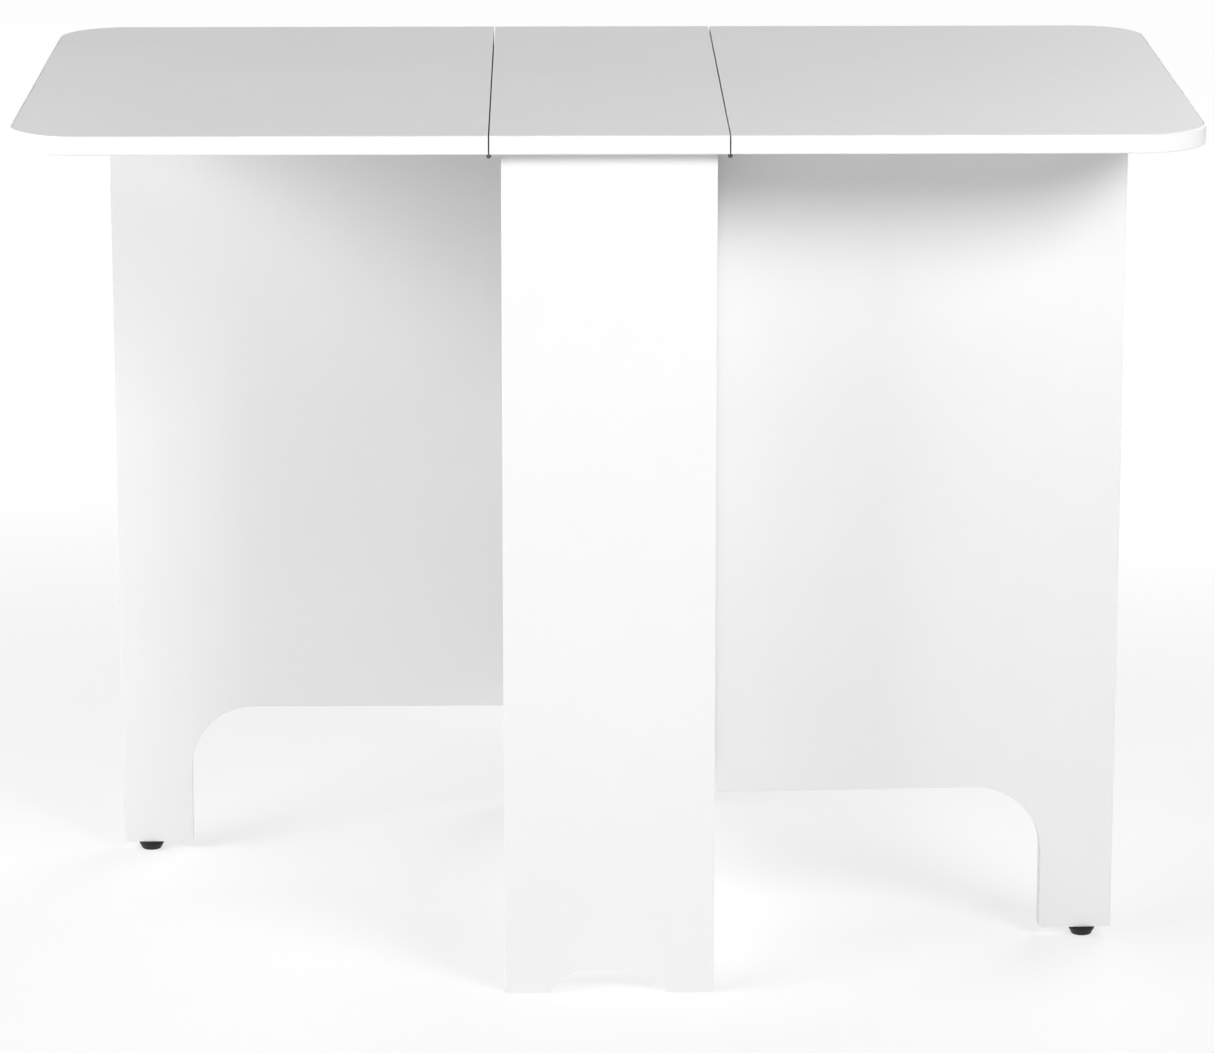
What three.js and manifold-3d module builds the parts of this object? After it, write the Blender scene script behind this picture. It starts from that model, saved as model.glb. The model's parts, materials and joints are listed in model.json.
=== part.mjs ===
// Gateleg table: a narrow fixed centre and two drop leaves, each held up by a swinging gate.
// Units are millimetres. +X runs along the length, -Y is the front, +Z is up and the floor is z = 0.
// The left side is the right side turned half a turn about the middle, apart from how far its gate is open.

import * as THREE from 'three';
import { mergeVertices } from 'three/addons/utils/BufferGeometryUtils.js';
import Module from 'manifold-3d';

const wasm = await Module();
wasm.setup();

// Overall sizes
const LENGTH = 1000;
const DEPTH = 600;
const HEIGHT = 750;
const BOARD = 16;
const UNDERSIDE = HEIGHT - BOARD;

// Table top: centre board and leaves, with glued edge bands
const JOINT_X = 100;
const JOINT_GAP = 1.2;
const CORNER_RADIUS = 60;
const BAND = 2;
const GLUE_LINE = 0.1;

// End panels, with a low arch cut into the foot of each
const PANEL_WIDTH = 180;
const PANEL_OUTER_Y = 285;
const PANEL_INNER_Y = PANEL_OUTER_Y - BOARD;
const PANEL_FOOT_RADIUS = 2;
const ARCH_HALF_WIDTH = 51;
const ARCH_FLAT = 18;
const ARCH_SHOULDER = 34;
const ARCH_HEIGHT = 21.6;

// Shelf, rail and hinge boards between the end panels
const SHELF_WIDTH = 144;
const SHELF_UNDERSIDE = 139;
const RAIL_HEIGHT = 100;
const GATE_PIVOT = new THREE.Vector2(PANEL_WIDTH / 2 + 1.5, -150);
const GATE_CLEARANCE = 1.5;

// Gates, drawn from their pivot: u runs from the pivot to the free edge
const GATE_REACH = 356.5;
const GATE_TOP = 729.5;
const GATE_LOWER_EDGE = 139;
const GATE_LEG_WIDTH = 64;
const GATE_LEG_BOTTOM = 8;
const GATE_INNER_RADIUS = 60;
const GATE_FOOT_RADIUS = 2;
const RIGHT_GATE_REST = THREE.MathUtils.degToRad(2.8);
const LEFT_GATE_REST = 0;

// Nail-on feet under the gates
const FOOT_INSET = 24.6;
const FOOT_TOP_RADIUS = 11.5;
const FOOT_BOTTOM_RADIUS = 9;
const FOOT_EDGE = 0.6;
const FOOT_GAP = 0.3;
const NAIL_RADIUS = 2;
const NAIL_TIP = 22;
const NAIL_BORE_RADIUS = 2.5;
const NAIL_BORE_TOP = 24;

// Pads under the leaves, which fill the space above an open gate
const PAD_CENTRE = new THREE.Vector2(415, -130);
const PAD_LENGTH = 60;
const PAD_WIDTH = 24;
const PAD_THICKNESS = 4.1;

// Piano hinges
const BARREL_RADIUS = 2;
const BORE_RADIUS = 1;
const PIN_RADIUS = 0.9;
const PLATE = 0.7;
const PLATE_START = 2.3;
const TAB_OVERLAP = 0.4;
const KNUCKLES = 13;
const KNUCKLE_GAP = 0.4;
const LEAF_HINGE_INSET = 6;
const LEAF_HINGE_REACH = 9.2;
const LEAF_HINGE_GAP = 0.1;
const GATE_HINGE_BOTTOM = 160;
const GATE_HINGE_LENGTH = 560;
const GATE_HINGE_REACH = 15;
const GATE_HINGE_GAP = 0.3;

// Cam locks, each a disc that grips a bolt screwed into an end panel
const CAM_RADIUS = 7.5;
const CAM_DEPTH = 12.5;
const CAM_BORE_RADIUS = 7.7;
const CAM_INSET = 34;
const CAM_SLOT_LENGTH = 9;
const CAM_SLOT_WIDTH = 1.6;
const CAM_SLOT_DEPTH = 2;
const BOLT_BACK = 3;
const BOLT_NECK_START = 3.4;
const BOLT_NECK_END = 7;
const BOLT_IN_PANEL = 11;
const BOLT_HEAD_RADIUS = 3.2;
const BOLT_NECK_RADIUS = 2;
const BOLT_SHANK_RADIUS = 3;
const BOLT_CHAMFER = 0.8;
const BOLT_BORE_RADIUS = 3.6;
const BOLT_CLEARANCE = 0.3;
const RAIL_CAM_DROP = 50;
const SHELF_CAM_X = 45;
const HINGE_BOARD_CAM_Z = [260, 620];

// Angle brackets under the centre board
const BRACKET_X = 48;
const BRACKET_ARM = 30;
const BRACKET_WIDTH = 20;
const BRACKET_THICKNESS = 2;
const BRACKET_HOLE_RADIUS = 2.5;
const BRACKET_HOLE_REACH = 18;

// Fineness of curved faces
const CORNER_STEPS = 12;
const SMALL_STEPS = 3;
const ARCH_STEPS = 8;
const PAD_STEPS = 8;
const FOOT_SIDES = 24;
const CAM_SIDES = 16;
const SMALL_SIDES = 8;
const CUT_MARGIN = 1;

const X = new THREE.Vector3(1, 0, 0);
const Y = new THREE.Vector3(0, 1, 0);
const Z = new THREE.Vector3(0, 0, 1);
const HALF_TURN = Math.PI;
const QUARTER_TURN = Math.PI / 2;

const FINISHES = {
  laminate: { color: 0xf1f1ef, roughness: 0.45, metalness: 0 },
  edgeBand: { color: 0xf4f4f2, roughness: 0.4, metalness: 0 },
  hingeSteel: { color: 0x5a5a5c, roughness: 0.4, metalness: 0.9 },
  pinSteel: { color: 0x808284, roughness: 0.35, metalness: 0.9 },
  zinc: { color: 0xa9abad, roughness: 0.4, metalness: 0.9 },
  blackPlastic: { color: 0x17171a, roughness: 0.6, metalness: 0 },
  whitePlastic: { color: 0xe4e4e2, roughness: 0.6, metalness: 0 },
};

const table = new THREE.Group();
table.name = 'gateleg_table';

// ---------- solids ----------

function solidFrom(geometry) {
  const bare = geometry.clone();
  bare.deleteAttribute('normal');
  bare.deleteAttribute('uv');
  const welded = mergeVertices(bare);
  const mesh = new wasm.Mesh({
    numProp: 3,
    vertProperties: new Float32Array(welded.attributes.position.array),
    triVerts: new Uint32Array(welded.index.array),
  });
  return new wasm.Manifold(mesh);
}

function geometryFrom(solid) {
  const mesh = solid.getMesh();
  const geometry = new THREE.BufferGeometry();
  geometry.setAttribute('position', new THREE.BufferAttribute(new Float32Array(mesh.vertProperties), 3));
  geometry.setIndex(new THREE.BufferAttribute(new Uint32Array(mesh.triVerts), 1));
  return geometry;
}

// A block between two opposite corners.
function block(from, to) {
  const size = new THREE.Vector3().subVectors(to, from);
  const geometry = new THREE.BoxGeometry(Math.abs(size.x), Math.abs(size.y), Math.abs(size.z));
  const middle = new THREE.Vector3().addVectors(from, to).multiplyScalar(0.5);
  geometry.translate(middle.x, middle.y, middle.z);
  return solidFrom(geometry);
}

function rod(from, to, radius, sides) {
  const axis = new THREE.Vector3().subVectors(to, from);
  const geometry = new THREE.CylinderGeometry(radius, radius, axis.length(), sides);
  geometry.applyQuaternion(new THREE.Quaternion().setFromUnitVectors(Y, axis.clone().normalize()));
  const middle = new THREE.Vector3().addVectors(from, to).multiplyScalar(0.5);
  geometry.translate(middle.x, middle.y, middle.z);
  return solidFrom(geometry);
}

// A board from its outline seen from above, between two heights.
function flatBoard(outline, low, high) {
  const geometry = new THREE.ExtrudeGeometry(new THREE.Shape(outline), {
    depth: high - low,
    bevelEnabled: false,
  });
  geometry.translate(0, 0, low);
  return solidFrom(geometry);
}

// A board from its outline seen from the front, between two depths.
function uprightBoard(outline, near, far) {
  const geometry = new THREE.ExtrudeGeometry(new THREE.Shape(outline), {
    depth: far - near,
    bevelEnabled: false,
  });
  geometry.applyMatrix4(new THREE.Matrix4().makeBasis(X, Z, Y.clone().negate()));
  geometry.translate(0, far, 0);
  return solidFrom(geometry);
}

function arc(centreX, centreY, radius, start, end, steps) {
  const points = [];
  for (let i = 0; i <= steps; i += 1) {
    const angle = start + ((end - start) * i) / steps;
    points.push(new THREE.Vector2(centreX + radius * Math.cos(angle), centreY + radius * Math.sin(angle)));
  }
  return points;
}

function point2(x, y) {
  return new THREE.Vector2(x, y);
}

function point3(x, y, z) {
  return new THREE.Vector3(x, y, z);
}

// Adds one named piece. The turn is the half turn that carries a right-hand piece to the left.
function addPiece(name, solid, finish, turn = 0) {
  const geometry = geometryFrom(solid);
  geometry.rotateZ(turn);
  geometry.computeVertexNormals();
  const piece = new THREE.Mesh(geometry, new THREE.MeshStandardMaterial(FINISHES[finish]));
  piece.name = name;
  table.add(piece);
}

// Turns a solid drawn from the gate pivot to the angle the gate stands at.
function standAtPivot(solid, angle) {
  const geometry = geometryFrom(solid);
  geometry.rotateZ(angle);
  geometry.translate(GATE_PIVOT.x, GATE_PIVOT.y, 0);
  return solidFrom(geometry);
}

// ---------- table top ----------

// Outline of a leaf shrunk by an inset on its three outer sides.
function leafEdge(inset) {
  const radius = CORNER_RADIUS - inset;
  const cornerX = LENGTH / 2 - CORNER_RADIUS;
  const cornerY = DEPTH / 2 - CORNER_RADIUS;
  const innerX = JOINT_X + JOINT_GAP / 2;
  return [
    point2(innerX, -DEPTH / 2 + inset),
    ...arc(cornerX, -cornerY, radius, -QUARTER_TURN, 0, CORNER_STEPS),
    ...arc(cornerX, cornerY, radius, 0, QUARTER_TURN, CORNER_STEPS),
    point2(innerX, DEPTH / 2 - inset),
  ];
}

function leafBoard() {
  return flatBoard(leafEdge(BAND + GLUE_LINE), UNDERSIDE, HEIGHT);
}

function leafBand() {
  return flatBoard([...leafEdge(0), ...leafEdge(BAND).reverse()], UNDERSIDE, HEIGHT);
}

function leafPad() {
  const end = PAD_LENGTH / 2 - PAD_WIDTH / 2;
  const radius = PAD_WIDTH / 2;
  const outline = [
    ...arc(PAD_CENTRE.x, PAD_CENTRE.y + end, radius, 0, HALF_TURN, PAD_STEPS),
    ...arc(PAD_CENTRE.x, PAD_CENTRE.y - end, radius, HALF_TURN, 2 * HALF_TURN, PAD_STEPS),
  ];
  return flatBoard(outline, UNDERSIDE - PAD_THICKNESS, UNDERSIDE);
}

const centreHalf = JOINT_X - JOINT_GAP / 2;
const centreBoardY = DEPTH / 2 - BAND - GLUE_LINE;
addPiece(
  'centre_top',
  block(point3(-centreHalf, -centreBoardY, UNDERSIDE), point3(centreHalf, centreBoardY, HEIGHT)),
  'laminate',
);
for (const [place, side] of [['front', -1], ['back', 1]]) {
  const inner = side * (DEPTH / 2 - BAND);
  const outer = (side * DEPTH) / 2;
  addPiece(
    `centre_top_band_${place}`,
    block(point3(-centreHalf, inner, UNDERSIDE), point3(centreHalf, outer, HEIGHT)),
    'edgeBand',
  );
}

// ---------- cam locks ----------

// Each lock is set by where its disc meets the board's face, the way into the board and the way to the panel.
const railCamZ = UNDERSIDE - RAIL_CAM_DROP;
const camY = PANEL_INNER_Y - CAM_INSET;
const locks = [];
for (const [place, side] of [['front', -1], ['back', 1]]) {
  const toPanel = Y.clone().multiplyScalar(side);
  locks.push({
    name: `rail_${place}`,
    host: 'rail',
    panel: place,
    face: point3(BOARD / 2, side * camY, railCamZ),
    inward: X.clone().negate(),
    toPanel,
  });
  for (const [hand, across] of [['left', -1], ['right', 1]]) {
    locks.push({
      name: `shelf_${place}_${hand}`,
      host: 'shelf',
      panel: place,
      face: point3(across * SHELF_CAM_X, side * camY, SHELF_UNDERSIDE),
      inward: Z,
      toPanel,
    });
  }
}
for (const [hand, across, place] of [['left', -1, 'back'], ['right', 1, 'front']]) {
  const [lower, upper] = HINGE_BOARD_CAM_Z;
  for (const [level, z] of [['lower', lower], ['upper', upper]]) {
    locks.push({
      name: `hinge_board_${hand}_${level}`,
      host: `hinge_board_${hand}`,
      panel: place,
      face: point3(across * (PANEL_WIDTH / 2 - BOARD), -across * camY, z),
      inward: X.clone().multiplyScalar(across),
      toPanel: Y.clone().multiplyScalar(-across),
    });
  }
}

// The bolt's axis runs in the middle of the board. Distances along it start at the disc's centre.
function onBoltAxis(lock, distance) {
  return lock.face.clone().addScaledVector(lock.inward, BOARD / 2).addScaledVector(lock.toPanel, distance);
}

function boltBore(lock) {
  const start = onBoltAxis(lock, -BOLT_BACK - BOLT_CLEARANCE);
  const end = onBoltAxis(lock, CAM_INSET + BOLT_IN_PANEL + BOLT_CLEARANCE);
  return rod(start, end, BOLT_BORE_RADIUS, SMALL_SIDES);
}

function camBore(lock) {
  const start = lock.face.clone().addScaledVector(lock.inward, -CUT_MARGIN);
  const end = lock.face.clone().addScaledVector(lock.inward, CAM_DEPTH);
  return rod(start, end, CAM_BORE_RADIUS, CAM_SIDES);
}

function camDisc(lock) {
  const deep = lock.face.clone().addScaledVector(lock.inward, CAM_DEPTH);
  const across = new THREE.Vector3().crossVectors(lock.inward, lock.toPanel);
  const corner = (length, width, depth) => lock.face.clone()
    .addScaledVector(lock.toPanel, length / 2)
    .addScaledVector(across, width / 2)
    .addScaledVector(lock.inward, depth);
  const slot = (length, width) => block(
    corner(-length, -width, -CUT_MARGIN),
    corner(length, width, CAM_SLOT_DEPTH),
  );
  return rod(lock.face, deep, CAM_RADIUS, CAM_SIDES)
    .subtract(slot(CAM_SLOT_LENGTH, CAM_SLOT_WIDTH))
    .subtract(slot(CAM_SLOT_WIDTH, CAM_SLOT_LENGTH))
    .subtract(boltBore(lock));
}

function bolt(lock) {
  const tip = BOLT_BACK + CAM_INSET + BOLT_IN_PANEL;
  const profile = [
    point2(0, 0),
    point2(BOLT_HEAD_RADIUS - BOLT_CHAMFER, 0),
    point2(BOLT_HEAD_RADIUS, BOLT_CHAMFER),
    point2(BOLT_HEAD_RADIUS, BOLT_BACK),
    point2(BOLT_NECK_RADIUS, BOLT_NECK_START),
    point2(BOLT_NECK_RADIUS, BOLT_NECK_END),
    point2(BOLT_SHANK_RADIUS, BOLT_NECK_END + BOLT_CHAMFER),
    point2(BOLT_SHANK_RADIUS, tip - BOLT_CHAMFER),
    point2(BOLT_SHANK_RADIUS - BOLT_CHAMFER, tip),
    point2(0, tip),
  ];
  const geometry = new THREE.LatheGeometry(profile, SMALL_SIDES);
  geometry.applyQuaternion(new THREE.Quaternion().setFromUnitVectors(Y, lock.toPanel));
  const start = onBoltAxis(lock, -BOLT_BACK);
  geometry.translate(start.x, start.y, start.z);
  return solidFrom(geometry);
}

// Cuts the bores of every lock that belongs to a board or screws into a panel.
function boredBoard(solid, host) {
  let bored = solid;
  for (const lock of locks.filter((one) => one.host === host)) {
    bored = bored.subtract(camBore(lock)).subtract(boltBore(lock));
  }
  return bored;
}

function boredPanel(solid, place) {
  let bored = solid;
  for (const lock of locks.filter((one) => one.panel === place)) {
    bored = bored.subtract(boltBore(lock));
  }
  return bored;
}

for (const lock of locks) {
  addPiece(`cam_${lock.name}`, camDisc(lock), 'zinc');
  addPiece(`bolt_${lock.name}`, bolt(lock), 'zinc');
}

// ---------- end panels, shelf and rail ----------

function archSide() {
  const foot = point2(ARCH_HALF_WIDTH, 0);
  const shoulder = point2(ARCH_SHOULDER, ARCH_HEIGHT);
  const crown = point2(ARCH_FLAT, ARCH_HEIGHT);
  return new THREE.QuadraticBezierCurve(foot, shoulder, crown).getPoints(ARCH_STEPS);
}

function panelOutline() {
  const half = PANEL_WIDTH / 2;
  const cornerX = half - PANEL_FOOT_RADIUS;
  const rightArch = archSide().reverse();
  const leftArch = archSide().map((p) => point2(-p.x, p.y));
  return [
    ...arc(cornerX, PANEL_FOOT_RADIUS, PANEL_FOOT_RADIUS, -QUARTER_TURN, 0, SMALL_STEPS),
    point2(half, UNDERSIDE),
    point2(-half, UNDERSIDE),
    ...arc(-cornerX, PANEL_FOOT_RADIUS, PANEL_FOOT_RADIUS, HALF_TURN, HALF_TURN + QUARTER_TURN, SMALL_STEPS),
    ...leftArch,
    ...rightArch,
  ];
}

const frontPanel = uprightBoard(panelOutline(), -PANEL_OUTER_Y, -PANEL_INNER_Y);
const backPanel = uprightBoard(panelOutline(), PANEL_INNER_Y, PANEL_OUTER_Y);
addPiece('end_panel_front', boredPanel(frontPanel, 'front'), 'laminate');
addPiece('end_panel_back', boredPanel(backPanel, 'back'), 'laminate');

const shelf = block(
  point3(-SHELF_WIDTH / 2, -PANEL_INNER_Y, SHELF_UNDERSIDE),
  point3(SHELF_WIDTH / 2, PANEL_INNER_Y, SHELF_UNDERSIDE + BOARD),
);
addPiece('lower_shelf', boredBoard(shelf, 'shelf'), 'laminate');

const rail = block(
  point3(-BOARD / 2, -PANEL_INNER_Y, UNDERSIDE - RAIL_HEIGHT),
  point3(BOARD / 2, PANEL_INNER_Y, UNDERSIDE),
);
addPiece('upper_rail', boredBoard(rail, 'rail'), 'laminate');

for (const [hand, across] of [['left', -1], ['right', 1]]) {
  const board = block(
    point3(across * (PANEL_WIDTH / 2 - BOARD), -across * PANEL_INNER_Y, SHELF_UNDERSIDE),
    point3((across * PANEL_WIDTH) / 2, across * (GATE_PIVOT.y - GATE_CLEARANCE), UNDERSIDE),
  );
  addPiece(`hinge_board_${hand}`, boredBoard(board, `hinge_board_${hand}`), 'laminate');
}

// ---------- angle brackets ----------

function bracket(across, side) {
  const corner = side * PANEL_INNER_Y;
  const left = across * BRACKET_X - BRACKET_WIDTH / 2;
  const right = across * BRACKET_X + BRACKET_WIDTH / 2;
  const holeX = across * BRACKET_X;
  const holeY = corner - side * BRACKET_HOLE_REACH;
  const holeZ = UNDERSIDE - BRACKET_HOLE_REACH;
  const flat = block(
    point3(left, corner, UNDERSIDE - BRACKET_THICKNESS),
    point3(right, corner - side * BRACKET_ARM, UNDERSIDE),
  );
  const upright = block(
    point3(left, corner, UNDERSIDE - BRACKET_ARM),
    point3(right, corner - side * BRACKET_THICKNESS, UNDERSIDE),
  );
  const flatHole = rod(
    point3(holeX, holeY, UNDERSIDE - BRACKET_THICKNESS - CUT_MARGIN),
    point3(holeX, holeY, UNDERSIDE + CUT_MARGIN),
    BRACKET_HOLE_RADIUS,
    SMALL_SIDES,
  );
  const uprightHole = rod(
    point3(holeX, corner + side * CUT_MARGIN, holeZ),
    point3(holeX, corner - side * (BRACKET_THICKNESS + CUT_MARGIN), holeZ),
    BRACKET_HOLE_RADIUS,
    SMALL_SIDES,
  );
  return flat.add(upright).subtract(flatHole).subtract(uprightHole);
}

for (const [place, side] of [['front', -1], ['back', 1]]) {
  for (const [hand, across] of [['left', -1], ['right', 1]]) {
    addPiece(`bracket_${place}_${hand}`, bracket(across, side), 'zinc');
  }
}

// ---------- piano hinges ----------

// One plate of a hinge with every second knuckle of its barrel. "start" is the axis' first end,
// "along" points from the axis across the plate and "face" points from the axis to the board.
function hingePlate({ start, axis, along, face, faceDistance, gap, length, reach, firstKnuckle }) {
  const near = faceDistance - gap - PLATE;
  const far = faceDistance - gap;
  const at = (across, out, up) => start.clone()
    .addScaledVector(along, across)
    .addScaledVector(face, out)
    .addScaledVector(axis, up);
  const pitch = length / KNUCKLES;
  let solid = block(at(PLATE_START, near, 0), at(reach, far, length));
  for (let i = firstKnuckle; i < KNUCKLES; i += 2) {
    const low = i * pitch + KNUCKLE_GAP / 2;
    const high = (i + 1) * pitch - KNUCKLE_GAP / 2;
    const tab = block(at(0, near, low), at(PLATE_START + TAB_OVERLAP, far, high));
    solid = solid.add(tab).add(rod(at(0, 0, low), at(0, 0, high), BARREL_RADIUS, SMALL_SIDES));
  }
  const bore = rod(at(0, 0, -CUT_MARGIN), at(0, 0, length + CUT_MARGIN), BORE_RADIUS, SMALL_SIDES);
  return solid.subtract(bore);
}

const leafHinge = {
  start: point3(JOINT_X, -DEPTH / 2 + LEAF_HINGE_INSET, UNDERSIDE - BARREL_RADIUS),
  axis: Y,
  face: Z,
  faceDistance: BARREL_RADIUS,
  gap: LEAF_HINGE_GAP,
  length: DEPTH - 2 * LEAF_HINGE_INSET,
  reach: LEAF_HINGE_REACH,
};
const gateHinge = {
  axis: Z,
  faceDistance: GATE_CLEARANCE,
  gap: GATE_HINGE_GAP,
  length: GATE_HINGE_LENGTH,
  reach: GATE_HINGE_REACH,
};

function hingePin({ start, axis, length }) {
  return rod(start, start.clone().addScaledVector(axis, length), PIN_RADIUS, SMALL_SIDES);
}

// ---------- gates ----------

function gateBoard() {
  const legInner = GATE_REACH - GATE_LEG_WIDTH;
  const footZ = GATE_LEG_BOTTOM + GATE_FOOT_RADIUS;
  const throatU = legInner - GATE_INNER_RADIUS;
  const throatZ = GATE_LOWER_EDGE - GATE_INNER_RADIUS;
  const outline = [
    point2(GATE_CLEARANCE, GATE_LOWER_EDGE),
    ...arc(throatU, throatZ, GATE_INNER_RADIUS, QUARTER_TURN, 0, CORNER_STEPS),
    ...arc(
      legInner + GATE_FOOT_RADIUS, footZ, GATE_FOOT_RADIUS, HALF_TURN, HALF_TURN + QUARTER_TURN, SMALL_STEPS,
    ),
    ...arc(GATE_REACH - GATE_FOOT_RADIUS, footZ, GATE_FOOT_RADIUS, -QUARTER_TURN, 0, SMALL_STEPS),
    point2(GATE_REACH, GATE_TOP),
    point2(GATE_CLEARANCE, GATE_TOP),
  ];
  const footU = GATE_REACH - FOOT_INSET;
  const footY = GATE_CLEARANCE + BOARD / 2;
  const nailBore = rod(
    point3(footU, footY, GATE_LEG_BOTTOM - CUT_MARGIN),
    point3(footU, footY, NAIL_BORE_TOP),
    NAIL_BORE_RADIUS,
    SMALL_SIDES,
  );
  return uprightBoard(outline, GATE_CLEARANCE, GATE_CLEARANCE + BOARD).subtract(nailBore);
}

function gateFoot() {
  const top = GATE_LEG_BOTTOM - FOOT_GAP;
  const profile = [
    point2(0, 0),
    point2(FOOT_BOTTOM_RADIUS - FOOT_EDGE, 0),
    point2(FOOT_BOTTOM_RADIUS, FOOT_EDGE),
    point2(FOOT_TOP_RADIUS, top - FOOT_EDGE),
    point2(FOOT_TOP_RADIUS - FOOT_EDGE, top),
    point2(NAIL_RADIUS, top),
    point2(NAIL_RADIUS, NAIL_TIP - NAIL_RADIUS),
    point2(0, NAIL_TIP),
  ];
  const geometry = new THREE.LatheGeometry(profile, FOOT_SIDES);
  geometry.applyMatrix4(new THREE.Matrix4().makeBasis(X, Z, Y.clone().negate()));
  geometry.translate(GATE_REACH - FOOT_INSET, GATE_CLEARANCE + BOARD / 2, 0);
  return solidFrom(geometry);
}

// ---------- both sides ----------

for (const [hand, turn, rest] of [['right', 0, RIGHT_GATE_REST], ['left', HALF_TURN, LEFT_GATE_REST]]) {
  addPiece(`${hand}_leaf`, leafBoard(), 'laminate', turn);
  addPiece(`${hand}_leaf_band`, leafBand(), 'edgeBand', turn);
  addPiece(`${hand}_leaf_pad`, leafPad(), 'whitePlastic', turn);

  const leafFixed = { ...leafHinge, along: X.clone().negate(), firstKnuckle: 0 };
  const leafMoving = { ...leafHinge, along: X, firstKnuckle: 1 };
  addPiece(`${hand}_leaf_hinge_fixed_plate`, hingePlate(leafFixed), 'hingeSteel', turn);
  addPiece(`${hand}_leaf_hinge_moving_plate`, hingePlate(leafMoving), 'hingeSteel', turn);
  addPiece(`${hand}_leaf_hinge_pin`, hingePin(leafHinge), 'pinSteel', turn);

  const pivot = point3(GATE_PIVOT.x, GATE_PIVOT.y, GATE_HINGE_BOTTOM);
  const gateFixed = {
    ...gateHinge,
    start: pivot,
    along: X.clone().negate(),
    face: Y.clone().negate(),
    firstKnuckle: 0,
  };
  const gateMoving = {
    ...gateHinge,
    start: point3(0, 0, GATE_HINGE_BOTTOM),
    along: Y,
    face: X,
    firstKnuckle: 1,
  };
  addPiece(`${hand}_gate_hinge_fixed_plate`, hingePlate(gateFixed), 'hingeSteel', turn);
  addPiece(
    `${hand}_gate_hinge_moving_plate`,
    standAtPivot(hingePlate(gateMoving), rest),
    'hingeSteel',
    turn,
  );
  addPiece(`${hand}_gate_hinge_pin`, hingePin({ ...gateHinge, start: pivot }), 'pinSteel', turn);
  addPiece(`${hand}_gate`, standAtPivot(gateBoard(), rest), 'laminate', turn);
  addPiece(`${hand}_gate_foot`, standAtPivot(gateFoot(), rest), 'blackPlastic', turn);
}

export default table;
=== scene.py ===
import json
import math

import bmesh
import bpy
from mathutils import Matrix, Vector


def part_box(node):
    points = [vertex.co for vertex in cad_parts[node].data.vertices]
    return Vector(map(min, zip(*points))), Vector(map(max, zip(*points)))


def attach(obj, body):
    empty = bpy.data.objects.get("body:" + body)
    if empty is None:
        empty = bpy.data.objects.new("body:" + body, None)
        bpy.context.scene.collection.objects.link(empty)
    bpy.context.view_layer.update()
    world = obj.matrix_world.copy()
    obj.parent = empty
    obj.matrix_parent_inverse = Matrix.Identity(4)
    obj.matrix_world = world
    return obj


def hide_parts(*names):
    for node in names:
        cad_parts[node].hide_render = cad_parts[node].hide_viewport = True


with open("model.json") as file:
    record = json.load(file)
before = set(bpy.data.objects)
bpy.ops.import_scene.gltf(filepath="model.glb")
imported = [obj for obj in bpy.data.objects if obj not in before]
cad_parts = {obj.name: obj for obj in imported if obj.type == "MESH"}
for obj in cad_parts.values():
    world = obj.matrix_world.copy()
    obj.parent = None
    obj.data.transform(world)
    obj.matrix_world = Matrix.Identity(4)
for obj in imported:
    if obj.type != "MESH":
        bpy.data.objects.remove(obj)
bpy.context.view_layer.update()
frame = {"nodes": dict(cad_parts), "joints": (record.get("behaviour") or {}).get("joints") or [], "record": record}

MM = 0.001
UP = Vector((0, 0, 1))
SHARP_ANGLE = math.radians(35)
FLAT_ANGLE = math.radians(1)
WELD_REACH = 0.005 * MM
SIDES = ("left", "right")

# ---------- sizes ----------

# Boards
LAMINATE_EDGE = 0.35 * MM        # rounding of a laminated board's edge
BAND_EDGE = 1.4 * MM             # rounding of the top's 2 mm edge band
BAND_THICKNESS = 2 * MM
GLUE_LINE = 0.1 * MM
CORNER_RADIUS = 60 * MM
CORNER_STEPS = 28
ARCH_HALF_WIDTH = 51 * MM
ARCH_SHOULDER = 34 * MM
ARCH_FLAT = 18 * MM
ARCH_HEIGHT = 21.6 * MM
ARCH_STEPS = 20
PANEL_FOOT_RADIUS = 2 * MM
SMALL_STEPS = 5
GATE_LEG_WIDTH = 64 * MM
GATE_INNER_RADIUS = 60 * MM
GATE_UNDER_STEP = 131 * MM       # from the foot of the gate's leg up to its lower edge

# Piano hinges: sizes across the hinge start at its axis
BARREL_RADIUS = 2 * MM
BORE_RADIUS = 0.97 * MM
PIN_RADIUS = 0.9 * MM
PLATE = 0.7 * MM
PLATE_START = 2.3 * MM
ROLL_STEPS = 22
SEAM_GAP = 0.15 * MM
KNUCKLES = 47
KNUCKLE_GAP = 0.25 * MM
LEAF_PLATE_FAR = 1.9 * MM        # from the axis to the face that lies on the board
GATE_PLATE_FAR = 1.2 * MM
SCREW_END = 26 * MM
LEAF_HINGE_SCREWS = 7
GATE_HINGE_SCREWS = 6
PIN_END = ((0.55, 0.0), (0.85, 0.08), (1.0, 0.3))

# Screw heads: (radius, height) from back to face, as parts of the radius, and their cross recess
HINGE_SCREW = 2.3 * MM
GATE_HINGE_SCREW = 3 * MM
BRACKET_SCREW = 4 * MM
SUNK_HEAD = ((0.9, -0.12), (1, -0.04), (1, 0.03), (0.95, 0.08), (0.8, 0.115), (0.6, 0.13))
PAN_HEAD = ((0.92, -0.02), (1, 0.06), (1, 0.22), (0.93, 0.38), (0.8, 0.49), (0.62, 0.55))
CROSS_ARM = 0.52
CROSS_HALF_WIDTH = 0.11
CROSS_DEPTH = 0.35
CROSS_TAPER = 0.72
CROSS_SIDES = 48

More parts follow.
